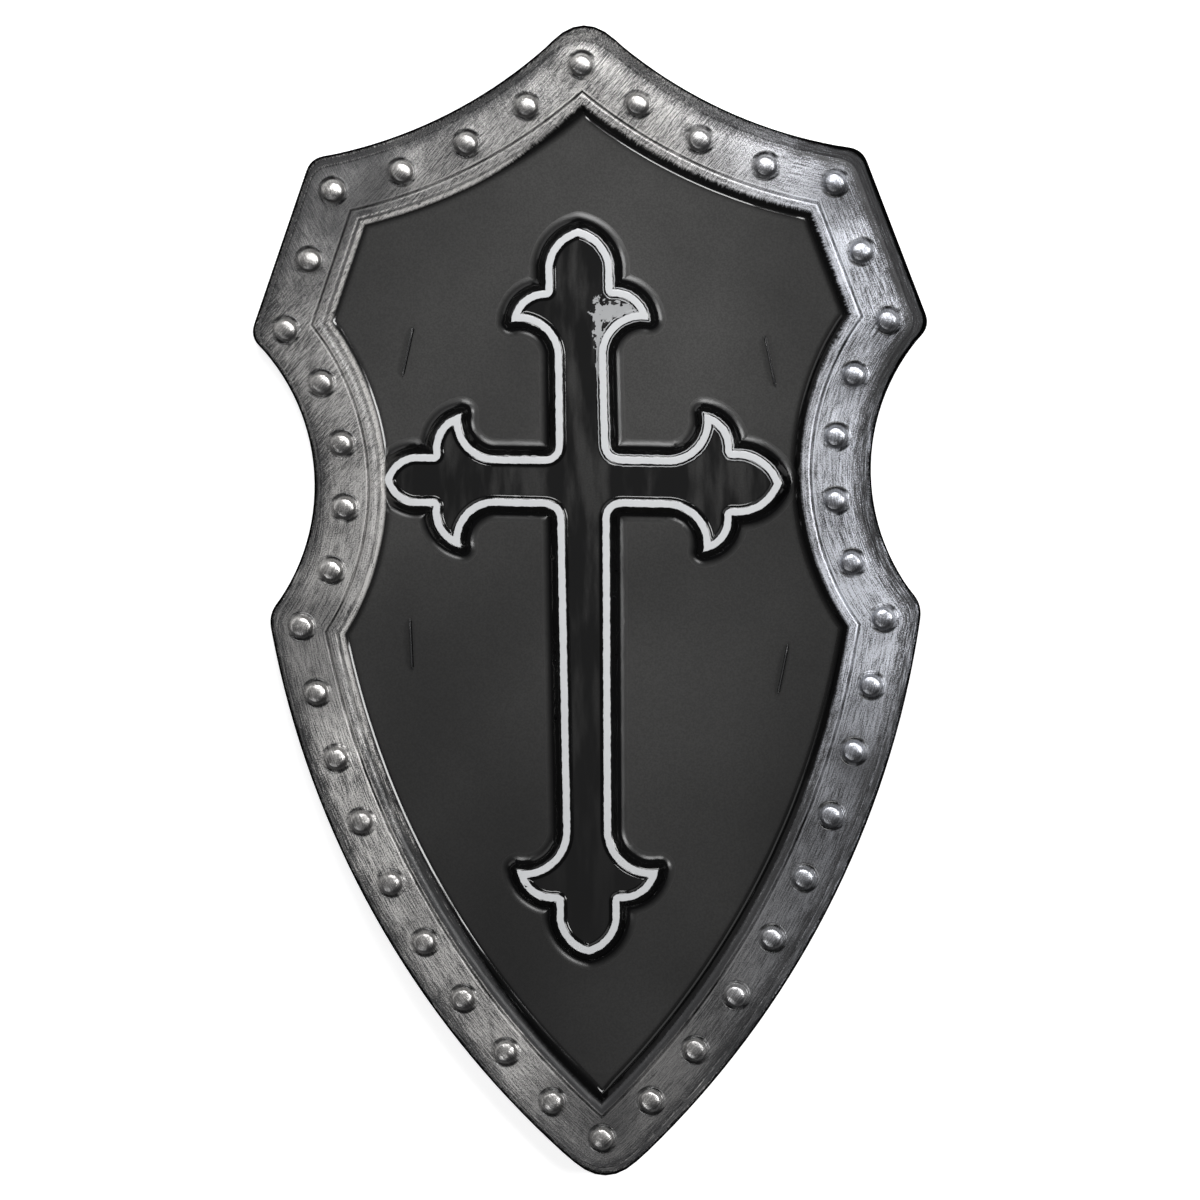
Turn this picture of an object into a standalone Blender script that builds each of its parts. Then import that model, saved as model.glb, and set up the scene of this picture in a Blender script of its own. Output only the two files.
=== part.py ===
"""A costume shield: one thin plastic sheet pressed over a mould, with two flat straps behind it.

It lies face up on its turned-out rim. +X is to the viewer's right, +Y towards the peak and +Z out of
the front. The origin is the middle of the rim's underside. The sheet is drawn as contour lines in plan,
each with its height. Metres throughout.
"""

import math

import bmesh
import bpy
import numpy as np
from mathutils import Matrix, Vector
from mathutils.geometry import delaunay_2d_cdt

# Sheet
SHEET_THICKNESS = 0.0009
BORDER_HEIGHT = 0.022
FIELD_DROP = 0.007

# Right half of the outline, as sharp corners: half width, and distance below the peak
PEAK_TO_TIP = 0.6254
SHOULDER_HALF_WIDTH = 0.1460
SHOULDER_DROP = 0.0759
WING_HALF_WIDTH = 0.1801
WING_DROP = 0.1695
HIP_HALF_WIDTH = 0.1733
HIP_DROP = 0.3171

# Radii of the round stretches between the corners, and how far back the corners are rounded off
TOP_RADIUS = 0.2476
WAIST_RADIUS = 0.1081
LOWER_RADIUS = 0.4939
PEAK_ROUNDING = 0.0232
TIP_ROUNDING = 0.0222
CORNER_ROUNDING = 0.007

# Border, measured inwards in plan
RIM_WIDTH = 0.0018
WALL_RUN = 0.0026
EDGE_ROUNDING = 0.0012
BAND_WIDTH = 0.0242
GROOVE_WIDTH = 0.0014
GROOVE_DEPTH = 0.0006
BEAD_WIDTH = 0.0042
INNER_WALL_RUN = 0.0042

# Rivet domes
RIVET_RADIUS = 0.0066
RIVET_HEIGHT = 0.0040
RIVET_RING_RADIUS = 0.0083
RIVET_RING_HEIGHT = 0.0008
RIVET_SHOULDER_RADIUS = 0.0040
RIVET_SHOULDER_HEIGHT = 0.0031
RIVET_INSET = 0.0140
PEAK_RIVET_DROP = 0.0022
TIP_RIVET_RISE = 0.0052
RIVET_SPACING = 0.034
RIVET_SIDES = 10

# Cross
CROSS_HEIGHT = 0.0060
CROSS_SLOPE_RUN = 0.0060
CROSS_RIM_WIDTH = 0.0041
CROSS_PANEL_DROP = 0.0010
CROSS_PANEL_RUN = 0.0014
CROSS_OFFSET = -0.0036
CROSSING_BELOW_PEAK = 0.2479
CROSSING_FILLET = 0.0070
STEM_HALF_WIDTH = 0.0140
CROSSBAR_HALF_WIDTH = 0.0134

# Each arm of the cross: its reach from the crossing and clockwise lean in degrees, the half widths of its
# lobe, barbs and neck, and the distances back from its tip to where these start or end
ARMS = {
    "head": {
        "reach": 0.1336, "lean": 0.0, "lobe": 0.0178, "barb": 0.0365, "neck": 0.0136,
        "spring": 0.0195, "notch": 0.0323, "barb_back": 0.0490, "joint": 0.0660,
    },
    "right": {
        "reach": 0.1050, "lean": 1.4, "lobe": 0.0172, "barb": 0.0366, "neck": 0.0134,
        "spring": 0.0225, "notch": 0.0262, "barb_back": 0.0415, "joint": 0.0590,
    },
    "foot": {
        "reach": 0.2504, "lean": 0.4, "lobe": 0.0168, "barb": 0.0376, "neck": 0.0128,
        "spring": 0.0185, "notch": 0.0282, "barb_back": 0.0452, "joint": 0.0650,
    },
    "left": {
        "reach": 0.1050, "lean": 1.4, "lobe": 0.0138, "barb": 0.0355, "neck": 0.0132,
        "spring": 0.0155, "notch": 0.0258, "barb_back": 0.0408, "joint": 0.0575,
    },
}
LOBE_TURN = math.radians(70)
BARB_TURN = math.radians(88)
HOLLOW_TURN = math.radians(98)

# Straps, and the left and right slit of each: their places as seen from the peak, and their leans in degrees
STRAP_THICKNESS = 0.0008
STRAP_WIDTH = 0.0256
STRAP_NECK_WIDTH = 0.0240
STRAP_BARB_WIDTH = 0.0276
STRAP_END_WIDTH = 0.0192
STRAP_FACE_GAP = 0.0007
STRAP_TAB_RISE = 0.0038
STRAP_BEND = 0.0050
STRAP_CLEAR_OF_REST = 0.0026
SLIT_CLEARANCE = 0.00035
STRAPS = {
    "upper_strap": {"places": ((-0.0951, -0.1780), (0.0961, -0.1861)), "leans": (-13.5, 10.8)},
    "lower_strap": {"places": ((-0.0965, -0.3328), (0.1000, -0.3488)), "leans": (1.4, -12.4)},
}

# Points along each stretch of the outline, along the arcs of the cross and along half a strap
OUTLINE_STEPS = (6, 2, 8, 9)
RELIEF_DETAIL = 4
ROUNDING_STEPS = 4
LOBE_STEPS = 4
BARB_STEPS = 3
HOLLOW_STEPS = 4
BEND_STEPS = 4
SAG_STEPS = 7
CORNER_ROUNDS = 20
TOLERANCE = 1e-7

# How far out a sharp corner may reach when a loop is moved, and how near to its old line it may come
SLOPE_SHARPNESS = 0.8
RIM_SHARPNESS = 0.6
LEAST_MOVE = 0.985

# Places that follow from the sizes above
PEAK_Y = PEAK_TO_TIP / 2
FIELD_HEIGHT = BORDER_HEIGHT - FIELD_DROP
WALL_TOP = RIM_WIDTH + WALL_RUN
BAND_START = WALL_TOP + EDGE_ROUNDING
BAND_END = BAND_START + BAND_WIDTH
GROOVE_MIDDLE = BAND_END + GROOVE_WIDTH / 2
BEAD_START = BAND_END + GROOVE_WIDTH
BEAD_END = BEAD_START + BEAD_WIDTH
FIELD_START = BEAD_END + INNER_WALL_RUN
RIVET_DEPTH = WALL_TOP + RIVET_INSET
PANEL_START = CROSS_RIM_WIDTH + CROSS_PANEL_RUN
ROUNDINGS = (PEAK_ROUNDING, *[CORNER_ROUNDING] * 3, TIP_ROUNDING, *[CORNER_ROUNDING] * 3)

# Front profiles: the border's from the outline inwards, the cross's from its outer edge inwards
OUTER_PROFILE = (
    (0, SHEET_THICKNESS),
    (RIM_WIDTH, SHEET_THICKNESS),
    (WALL_TOP, BORDER_HEIGHT - EDGE_ROUNDING),
    (BAND_START, BORDER_HEIGHT),
)
INNER_PROFILE = (
    (BAND_END, BORDER_HEIGHT),
    (GROOVE_MIDDLE, BORDER_HEIGHT - GROOVE_DEPTH),
    (BEAD_START, BORDER_HEIGHT),
    (BEAD_END, BORDER_HEIGHT),
    (FIELD_START, FIELD_HEIGHT),
)
CROSS_PROFILE = (
    (-CROSS_SLOPE_RUN, FIELD_HEIGHT),
    (0, FIELD_HEIGHT + CROSS_HEIGHT),
    (CROSS_RIM_WIDTH, FIELD_HEIGHT + CROSS_HEIGHT),
    (PANEL_START, FIELD_HEIGHT + CROSS_HEIGHT - CROSS_PANEL_DROP),
)
RIVET_PROFILE = (
    (RIVET_RING_RADIUS, BORDER_HEIGHT),
    (RIVET_RADIUS, BORDER_HEIGHT + RIVET_RING_HEIGHT),
    (RIVET_SHOULDER_RADIUS, BORDER_HEIGHT + RIVET_SHOULDER_HEIGHT),
)


class Stretch:
    """A stretch of the outline between two corners: straight with no radius, hollow with a negative one."""

    def __init__(self, start, end, radius=None):
        self.start, self.end, self.radius = Vector(start), Vector(end), radius
        chord = self.end - self.start
        inward = Vector((chord.y, -chord.x)).normalized()
        if radius is None:
            self.inward = inward
        else:
            sagitta_side = math.sqrt(radius**2 - (chord.length / 2) ** 2)
            middle = (self.start + self.end) / 2
            self.centre = middle + inward * math.copysign(sagitta_side, radius)

    def depth(self, point):
        """How far the point lies inside this stretch, and the direction inwards."""
        if self.radius is None:
            return (point - self.start).dot(self.inward), self.inward
        side = math.copysign(1, self.radius)
        outward = point - self.centre
        return (abs(self.radius) - outward.length) * side, -outward.normalized() * side

    def points(self, start, end, depth, steps):
        """The points between two of its corners when it is moved inwards, without the corners."""
        if self.radius is None:
            return arc(start, end, 0, steps)[:-1]
        radius = self.radius - depth
        turn = 2 * math.asin((end - start).length / 2 / radius)
        return arc(start, end, turn, steps)[:-1]


def arc(start, end, turn, steps):
    """Points along a round arc to the end, without its start. A positive turn bulges to the left."""
    chord = end - start
    points = []
    for step in range(1, steps + 1):
        along = step / steps
        if abs(turn) < TOLERANCE:
            points.append(start + chord * along)
            continue
        length = math.sin(along * turn / 2) / math.sin(turn / 2)
        lean = Matrix.Rotation((1 - along) * turn / 2, 2)
        points.append(start + lean @ chord * length)
    return points


def fillet(before, corner, after, size, steps):
    """Points that round off a corner, from a cut on one side of it to a cut on the other."""
    first = corner + (before - corner).normalized() * size
    last = corner + (after - corner).normalized() * size
    shares = [step / steps for step in range(steps + 1)]
    return [first.lerp(corner, share).lerp(corner.lerp(last, share), share) for share in shares]


def mirrored(points):
    return [Vector((-point.x, point.y)) for point in reversed(points)]


def half_corners():
    """The sharp corners of the right half, from the peak down to the tip."""
    return [
        Vector((0, PEAK_Y)),
        Vector((SHOULDER_HALF_WIDTH, PEAK_Y - SHOULDER_DROP)),
        Vector((WING_HALF_WIDTH, PEAK_Y - WING_DROP)),
        Vector((HIP_HALF_WIDTH, PEAK_Y - HIP_DROP)),
        Vector((0, PEAK_Y - PEAK_TO_TIP)),
    ]


def half_stretches():
    corners = half_corners()
    radii = (-TOP_RADIUS, None, -WAIST_RADIUS, LOWER_RADIUS)
    return [Stretch(*ends, radius) for *ends, radius in zip(corners, corners[1:], radii)]


def moved_corner(corner, first, second, depth):
    """The corner of two stretches that are both moved inwards. A missing stretch is the middle line."""
    point = corner.copy()
    for _ in range(CORNER_ROUNDS):
        rows, missing = [], []
        for stretch in (first, second):
            here, inward = stretch.depth(point) if stretch else (point.x + depth, Vector((1, 0)))
            rows.append(inward)
            missing.append(depth - here)
        point += Matrix(rows).inverted() @ Vector(missing)
    return point


def outline(depth, roundings=None, steps=OUTLINE_STEPS):
    """The outline moved inwards by a depth, as a closed loop that runs clockwise from the peak."""
    stretches = half_stretches()
    pairs = zip(half_corners(), [None, *stretches], [*stretches, None])
    corners = [moved_corner(corner, first, second, depth) for corner, first, second in pairs]
    sides = [
        stretch.points(start, end, depth, count)
        for stretch, start, end, count in zip(stretches, corners, corners[1:], steps)
    ]
    corners += mirrored(corners[1:-1])
    sides += [mirrored(side) for side in reversed(sides)]
    loop = []
    for index, corner in enumerate(corners):
        if roundings:
            before = (sides[index - 1] or [corners[index - 1]])[-1]
            after = (sides[index] or [corners[(index + 1) % len(corners)]])[0]
            loop += fillet(before, corner, after, roundings[index], ROUNDING_STEPS)
        else:
            loop.append(corner)
        loop += sides[index]
    return loop


def rivet_centres():
    """A rivet on each corner of the rivet line, and evenly spaced ones between."""
    corners = outline(RIVET_DEPTH, steps=(1, 1, 1, 1))
    counts = [round((end - start).length / RIVET_SPACING) for start, end in zip(corners, corners[1:5])]
    centres = outline(RIVET_DEPTH, steps=counts)
    centres[0].y -= PEAK_RIVET_DROP
    centres[sum(counts)].y += TIP_RIVET_RISE
    return centres


def arm_side(arm):
    """One side of an arm, from its tip to where its barb meets the stem, as (back, side) points."""
    tip = Vector((0, 0))
    spring = Vector((arm["spring"], arm["lobe"]))
    notch = Vector((arm["notch"], arm["lobe"]))
    barb = Vector((arm["barb_back"], arm["barb"]))
    joint = Vector((arm["joint"], arm["neck"]))
    points = [tip, *arc(tip, spring, LOBE_TURN, LOBE_STEPS), notch]
    points += arc(notch, barb, BARB_TURN, BARB_STEPS)
    return points + arc(barb, joint, -HOLLOW_TURN, HOLLOW_STEPS)


def cross_outline():
    """The outer edge of the cross's rim, as a closed loop that runs clockwise from the tip of its head."""
    crossing = Vector((CROSS_OFFSET, PEAK_Y - CROSSING_BELOW_PEAK))
    corner_signs = [(1, 1), (1, -1), (-1, -1), (-1, 1)]
    halves = []
    for quarter, arm in enumerate(ARMS.values()):
        outward = Matrix.Rotation(math.radians(-90 * quarter - arm["lean"]), 2) @ Vector((0, 1))
        across = Vector((outward.y, -outward.x))
        tip = crossing + outward * arm["reach"]
        for sign in (1, -1):
            halves.append([tip - outward * back + across * side * sign for back, side in arm_side(arm)])
    loop = []
    for index, (sign_x, sign_y) in enumerate(corner_signs):
        leaving = halves[2 * index]
        arriving = halves[(2 * index + 3) % len(halves)][::-1]
        corner = crossing + Vector((sign_x * STEM_HALF_WIDTH, sign_y * CROSSBAR_HALF_WIDTH))
        rounding = fillet(leaving[-1], corner, arriving[0], CROSSING_FILLET, ROUNDING_STEPS)
        loop += leaving + rounding + arriving[:-1]
    return loop


def as_array(points):
    return np.array([(point.x, point.y) for point in points])


def distances(points, loop):
    """Each point's distance to a closed loop, positive inside it. Both are arrays."""
    start, end = loop, np.roll(loop, -1, axis=0)
    along = end - start
    offset = points[:, None] - start
    share = np.clip((offset * along).sum(axis=2) / (along**2).sum(axis=1), 0, 1)
    nearest = np.linalg.norm(offset - share[..., None] * along, axis=2).min(axis=1)
    above = (start[:, 1] > points[:, None, 1]) != (end[:, 1] > points[:, None, 1])
    rise = np.where(along[:, 1] == 0, TOLERANCE, along[:, 1])
    crossing_x = start[:, 0] + (points[:, None, 1] - start[:, 1]) / rise * along[:, 0]
    inside = (above & (points[:, None, 0] < crossing_x)).sum(axis=1) % 2 == 1
    return np.where(inside, nearest, -nearest)


def offset_loop(loop, distance, sharpest):
    """The clockwise loop moved inwards, or outwards by a negative distance, with what would fold left out."""
    points = as_array(loop)
    forward = np.roll(points, -1, axis=0) - points
    forward /= np.linalg.norm(forward, axis=1)[:, None]
    inward = np.stack([forward[:, 1], -forward[:, 0]], axis=1)
    middle = inward + np.roll(inward, 1, axis=0)
    middle /= np.linalg.norm(middle, axis=1)[:, None]
    reach = distance / np.maximum((middle * inward).sum(axis=1), sharpest)
    moved = points + middle * reach[:, None]
    gap = distances(moved, points) * math.copysign(1, distance)
    return [Vector(point) for point in moved[gap > abs(distance) * LEAST_MOVE]]


def ring(centre, radius, sides):
    turns = [math.tau * side / sides for side in range(sides)]
    return [centre + Vector((math.cos(turn), math.sin(turn))) * radius for turn in turns]


def slits():
    """Each strap's slits, as (name, place, direction along the slit), the left one first."""
    found = []
    for name, strap in STRAPS.items():
        for place, lean in zip(strap["places"], strap["leans"]):
            along = Matrix.Rotation(math.radians(lean), 2) @ Vector((0, 1))
            found.append((name, Vector(place) + Vector((0, PEAK_Y)), along))
    return found


def slit_loop(place, along):
    half_length = along * (STRAP_NECK_WIDTH / 2 + SLIT_CLEARANCE)
    across = Vector((along.y, -along.x)) * (STRAP_THICKNESS / 2 + SLIT_CLEARANCE)
    corners = (half_length + across, half_length - across, -half_length - across, -half_length + across)
    return [place + corner for corner in corners]


class Relief:
    """The height of the sheet's front, worked out from the border's profile and the cross's."""

    def __init__(self):
        self.outline = as_array(outline(0, steps=[RELIEF_DETAIL * count for count in OUTLINE_STEPS]))
        self.cross = as_array(cross_outline())

    def heights(self, points):
        border = np.interp(distances(points, self.outline), *zip(*OUTER_PROFILE, *INNER_PROFILE))
        cross = np.interp(distances(points, self.cross), *zip(*CROSS_PROFILE))
        return np.maximum(border, cross)


def contours():
    """The sheet's contour lines, as (loop, height) pairs. No height means that the relief gives it."""
    lines = [(outline(depth, ROUNDINGS), height) for depth, height in OUTER_PROFILE]
    lines += [(outline(depth), None) for depth, _ in INNER_PROFILE]
    for centre in rivet_centres():
        lines += [(ring(centre, radius, RIVET_SIDES), height) for radius, height in RIVET_PROFILE]
        lines.append(([centre], BORDER_HEIGHT + RIVET_HEIGHT))
    cross = cross_outline()
    lines.append((offset_loop(cross, -CROSS_SLOPE_RUN, SLOPE_SHARPNESS), None))
    lines.append((cross, None))
    lines += [(offset_loop(cross, inset, RIM_SHARPNESS), None) for inset in (CROSS_RIM_WIDTH, PANEL_START)]
    lines += [(slit_loop(place, along), None) for _, place, along in slits()]
    return lines


def pressed_mesh(name):
    """The front of the sheet: its contour lines joined by triangles and raised, open at the slits."""
    points, edges, heights = [], [], []
    for loop, height in contours():
        first, count = len(points), len(loop)
        points += loop
        heights += [height] * count
        if count > 1:
            edges += [(first + step, first + (step + 1) % count) for step in range(count)]
    flat, _, faces, sources, _, _ = delaunay_2d_cdt(points, edges, [], 1, TOLERANCE)
    relief = Relief().heights(as_array(flat))
    raised = []
    for point, source, level in zip(flat, sources, relief):
        given = [heights[index] for index in source if heights[index] is not None]
        raised.append((point.x, point.y, given[0] if given else level))
    centres = np.array([np.mean([flat[corner] for corner in face], axis=0) for face in faces])
    open_here = np.zeros(len(faces), bool)
    for _, place, along in slits():
        open_here |= distances(centres, as_array(slit_loop(place, along))) > 0
    mesh = bpy.data.meshes.new(name)
    mesh.from_pydata(raised, [], [face for face, gone in zip(faces, open_here) if not gone])
    return mesh


def strap_rows(half_span):
    """Half a strap, from its end to its middle, as (distance from the slit, height, half width) rows."""
    back = FIELD_HEIGHT - SHEET_THICKNESS
    neck, full = STRAP_NECK_WIDTH / 2, STRAP_WIDTH / 2
    turn_height = back - STRAP_FACE_GAP - STRAP_THICKNESS
    rows = [
        (0, FIELD_HEIGHT + STRAP_TAB_RISE, STRAP_END_WIDTH / 2),
        (0, FIELD_HEIGHT + STRAP_FACE_GAP + STRAP_THICKNESS, STRAP_BARB_WIDTH / 2),
        (0, FIELD_HEIGHT + STRAP_FACE_GAP, neck),
        (0, back - STRAP_FACE_GAP, neck),
        (0, turn_height, full),
    ]
    for step in range(1, BEND_STEPS + 1):
        turn = math.pi / 2 * step / BEND_STEPS
        rows.append((STRAP_BEND * (1 - math.cos(turn)), turn_height - STRAP_BEND * math.sin(turn), full))
    highest = turn_height - STRAP_BEND
    lowest = STRAP_CLEAR_OF_REST + STRAP_THICKNESS / 2
    for step in range(1, SAG_STEPS + 1):
        share = step / SAG_STEPS
        height = lowest + (highest - lowest) * (1 + math.cos(math.pi * share)) / 2
        rows.append((STRAP_BEND + (half_span - STRAP_BEND) * share, height, full))
    return rows


def strap_mesh(name):
    """A flat band that leans with its slits at the ends and untwists towards its middle."""
    ends = [(place, along) for owner, place, along in slits() if owner == name]
    half_span = (ends[1][0] - ends[0][0]).length / 2
    half = strap_rows(half_span)
    bm = bmesh.new()
    rows = []
    for (place, along), (other, _), part in ((*ends, half), (*ends[::-1], half[-2::-1])):
        toward = (other - place).normalized()
        for reach, height, width in part:
            middle_share = max(0, (reach - STRAP_BEND) / (half_span - STRAP_BEND))
            across = along.lerp(Vector((0, 1)), middle_share)
            edge = [place + toward * reach + across * width * sign for sign in (-1, 0, 1)]
            rows.append([bm.verts.new((*point, height)) for point in edge])
    for row, following in zip(rows, rows[1:]):
        for step in range(2):
            bm.faces.new((row[step], following[step], following[step + 1], row[step + 1]))
    bmesh.ops.recalc_face_normals(bm, faces=bm.faces)
    mesh = bpy.data.meshes.new(name)
    bm.to_mesh(mesh)
    bm.free()
    return mesh


def material(name, colour, roughness, metallic):
    made = bpy.data.materials.new(name)
    made.use_nodes = True
    shader = made.node_tree.nodes["Principled BSDF"]
    shader.inputs["Base Color"].default_value = (*colour, 1)
    shader.inputs["Roughness"].default_value = roughness
    shader.inputs["Metallic"].default_value = metallic
    return made


def thickened(name, mesh, thickness, offset, collection, finish):
    """An object of sheet material: an open surface with a thickness."""
    piece = bpy.data.objects.new(name, mesh)
    collection.objects.link(piece)
    mesh.materials.append(finish)
    shell = piece.modifiers.new("Thickness", "SOLIDIFY")
    shell.thickness = thickness
    shell.offset = offset
    shell.use_even_offset = True
    shell.use_quality_normals = True
    piece.location.y = -middle_height()


def middle_height():
    """Where the middle of the rounded outline lies along Y, which becomes the origin."""
    heights = [point.y for point in outline(0, ROUNDINGS)]
    return (max(heights) + min(heights)) / 2


def clear_scene():
    for thing in list(bpy.data.objects):
        bpy.data.objects.remove(thing, do_unlink=True)


def build():
    clear_scene()
    collection = bpy.data.collections.new("costume_shield")
    bpy.context.scene.collection.children.link(collection)
    black = material("pressed_plastic", (0.03, 0.03, 0.032), 0.25, 0.0)
    thickened("shield_shell", pressed_mesh("shield_shell"), SHEET_THICKNESS, -1, collection, black)
    for name in STRAPS:
        finish = material(name, (0.02, 0.02, 0.02), 0.4, 0.0)
        thickened(name, strap_mesh(name), STRAP_THICKNESS, 0, collection, finish)


build()
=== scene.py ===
"""Looks for the costume shield: a finer pressed sheet with its paint, its straps and the studio."""

import math
import random

import bmesh
import bpy
import numpy as np
from mathutils import Matrix, Vector
from mathutils.geometry import delaunay_2d_cdt


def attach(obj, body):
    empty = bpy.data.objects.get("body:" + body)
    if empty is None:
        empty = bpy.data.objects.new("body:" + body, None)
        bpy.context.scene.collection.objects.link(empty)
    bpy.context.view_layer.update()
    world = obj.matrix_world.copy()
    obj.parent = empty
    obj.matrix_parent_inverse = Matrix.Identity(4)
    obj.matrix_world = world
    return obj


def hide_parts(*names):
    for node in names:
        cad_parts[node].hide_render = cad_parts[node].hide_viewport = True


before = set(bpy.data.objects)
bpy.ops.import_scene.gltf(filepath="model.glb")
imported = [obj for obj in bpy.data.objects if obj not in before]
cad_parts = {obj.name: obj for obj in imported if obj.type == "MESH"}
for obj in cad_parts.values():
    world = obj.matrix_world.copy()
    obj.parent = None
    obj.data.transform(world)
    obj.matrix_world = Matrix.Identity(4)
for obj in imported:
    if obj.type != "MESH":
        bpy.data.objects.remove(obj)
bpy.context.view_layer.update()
MM = 0.001

# Sheet, in metres
SHEET_THICKNESS = 0.0009
BORDER_HEIGHT = 0.022
FIELD_HEIGHT = 0.015

# Right half of the outline, as sharp corners: half width, and distance below the peak
PEAK_TO_TIP = 0.6254
PEAK_Y = PEAK_TO_TIP / 2
SHOULDER_HALF_WIDTH = 0.1460
SHOULDER_DROP = 0.0759
WING_HALF_WIDTH = 0.1801
WING_DROP = 0.1695
HIP_HALF_WIDTH = 0.1733
HIP_DROP = 0.3171
TOP_RADIUS = 0.2476
WAIST_RADIUS = 0.1081
LOWER_RADIUS = 0.4939
PEAK_ROUNDING = 0.0232
TIP_ROUNDING = 0.0222
CORNER_ROUNDING = 0.007
ROUNDINGS = (PEAK_ROUNDING, *[CORNER_ROUNDING] * 3, TIP_ROUNDING, *[CORNER_ROUNDING] * 3)

# Border, measured inwards in plan
RIM_WIDTH = 0.0018
SHOULDER_LINE = 0.0048
BAND_END = 0.0298
GROOVE_MIDDLE = 0.0305
BEAD_START = 0.0312
BEAD_END = 0.0354
FIELD_START = 0.0396

# Rivet domes
RIVET_DEPTH = 0.0184
RIVET_SPACING = 0.034
PEAK_RIVET_DROP = 0.0022
TIP_RIVET_RISE = 0.0052
RIVET_HEIGHT = 0.0040
RIVET_RADIUS = 0.0066
RIVET_RING_RADIUS = 0.0084
RIVET_SIDES = 24
RIVET_SWELL = (0.92, 1.0)
RIVET_SEED = 4

# Cross
CROSS_HEIGHT = 0.0060
CROSS_SLOPE_RUN = 0.0060
CROSS_RIM_WIDTH = 0.0041
PANEL_START = 0.0055
CROSS_PANEL_DROP = 0.0010
CROSS_OFFSET = -0.0036
CROSSING_BELOW_PEAK = 0.2479
CROSSING_FILLET = 0.0070
STEM_HALF_WIDTH = 0.0140
CROSSBAR_HALF_WIDTH = 0.0134

# Each arm of the cross: its reach from the crossing and clockwise lean in degrees, the half widths of its
# lobe, barbs and neck, and the distances back from its tip to where these start or end
ARMS = {
    "head": {
        "reach": 0.1336, "lean": 0.0, "lobe": 0.0178, "barb": 0.0365, "neck": 0.0136,
        "spring": 0.0195, "notch": 0.0323, "barb_back": 0.0490, "joint": 0.0660,
    },
    "right": {
        "reach": 0.1050, "lean": 1.4, "lobe": 0.0172, "barb": 0.0366, "neck": 0.0134,
        "spring": 0.0225, "notch": 0.0262, "barb_back": 0.0415, "joint": 0.0590,
    },
    "foot": {
        "reach": 0.2504, "lean": 0.4, "lobe": 0.0168, "barb": 0.0376, "neck": 0.0128,
        "spring": 0.0185, "notch": 0.0282, "barb_back": 0.0452, "joint": 0.0650,
    },
    "left": {
        "reach": 0.1050, "lean": 1.4, "lobe": 0.0138, "barb": 0.0355, "neck": 0.0132,
        "spring": 0.0155, "notch": 0.0258, "barb_back": 0.0408, "joint": 0.0575,
    },
}
LOBE_TURN = math.radians(70)
BARB_TURN = math.radians(88)
HOLLOW_TURN = math.radians(98)

# Slits: the strap that each holds, its place as seen from the peak, and its lean in degrees
SLITS = (
    ("upper_strap", (-0.0951, -0.1780), -13.5),
    ("upper_strap", (0.0961, -0.1861), 10.8),
    ("lower_strap", (-0.0965, -0.3328), 1.4),
    ("lower_strap", (0.1000, -0.3488), -12.4),
)
SLIT_LENGTH = 0.0247
SLIT_WIDTH = 0.0015

# Straps
STRAP_THICKNESS = 0.0008
STRAP_WIDTH = 0.0256
STRAP_NECK_WIDTH = 0.0240
STRAP_BARB_WIDTH = 0.0276
STRAP_END_WIDTH = 0.0192
STRAP_FACE_GAP = 0.0007
STRAP_TAB_RISE = 0.0038
STRAP_BEND = 0.0050
STRAP_CLEAR_OF_REST = 0.0026
STRAP_EDGE_ROUNDING = 0.00025

# Fineness of the mesh
OUTLINE_STEPS = (24, 8, 30, 36)
ROUNDING_STEPS = 6
PROFILE_STEPS = 4
LOBE_STEPS = 12
BARB_STEPS = 9
HOLLOW_STEPS = 12
BEND_STEPS = 10
SAG_STEPS = 40
CROSS_SPACING = 0.0025
OFFSET_TURN = math.radians(15)
CORNER_ROUNDS = 20
LEAST_MOVE = 0.985
MITRE_LIMIT = 0.4
CHUNK = 1500
TOLERANCE = 1e-7
WELD = 4e-5
FIELD_SPACING = 0.009
SLIT_MARGINS = (0.0012, 0.004)
SHARP_ANGLE = math.radians(42)

# The photograph: its real width at the floor, what its middle shows, its tilt towards +X and +Y, its roll
PHOTO_WIDTH = 0.6348
PHOTO_MIDDLE = (0.0028, 0.0007)
PHOTO_TILT = math.radians(4)
PHOTO_ROLL = math.radians(1.1)
CAMERA_DISTANCE = 7.0
SENSOR = 36.0

# Light: square lamps that look at the shield, as (name, azimuth, elevation, distance, size, radiance),
# where azimuth 0 is towards +Y and 90 towards +X
WORLD_COLOUR = (0.06, 0.06, 0.062, 1)
LAMPS = (
    ("overhead", 225, 84, 2.4, (1.3, 1.3), 0.22),
    ("key", 5, 56, 0.86, (0.32, 0.32), 11.5),
    ("right", 78, 50, 2.6, (0.65, 0.9), 17.0),
    ("low_left", 211, 46, 2.8, (0.7, 0.6), 16.0),
    ("left_wall", 310, 28, 2.6, (2.4, 1.0), 0.9),
)

# Colours
PLASTIC_BLACK = (0.002, 0.002, 0.0021, 1)
# the haze on the field is partly a matte film and partly painted sheen
PLASTIC_HAZE_AND_SHEEN = (0.062, 0.0612, 0.0598, 1)
BACK_COLOURS = (0.008, 0.008, 0.0082, 1), (0.019, 0.019, 0.0188, 1)
STRAP_COLOURS = (0.010, 0.010, 0.011, 1), (0.024, 0.024, 0.025, 1)
SILVER_DARK = (0.05, 0.05, 0.052, 1)
# warm silver, and a bluish tint on the right that stands for a painted reflection
SILVER_TINT_AND_BLUE_SHEEN = (0.70, 0.685, 0.665, 1), (0.66, 0.68, 0.74, 1)
WHITE_COLOURS = (0.54, 0.55, 0.56, 1), (0.61, 0.62, 0.63, 1)
FLOOR_COLOURS = (0.90, 0.90, 0.90, 1), (0.93, 0.93, 0.93, 1)

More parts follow.
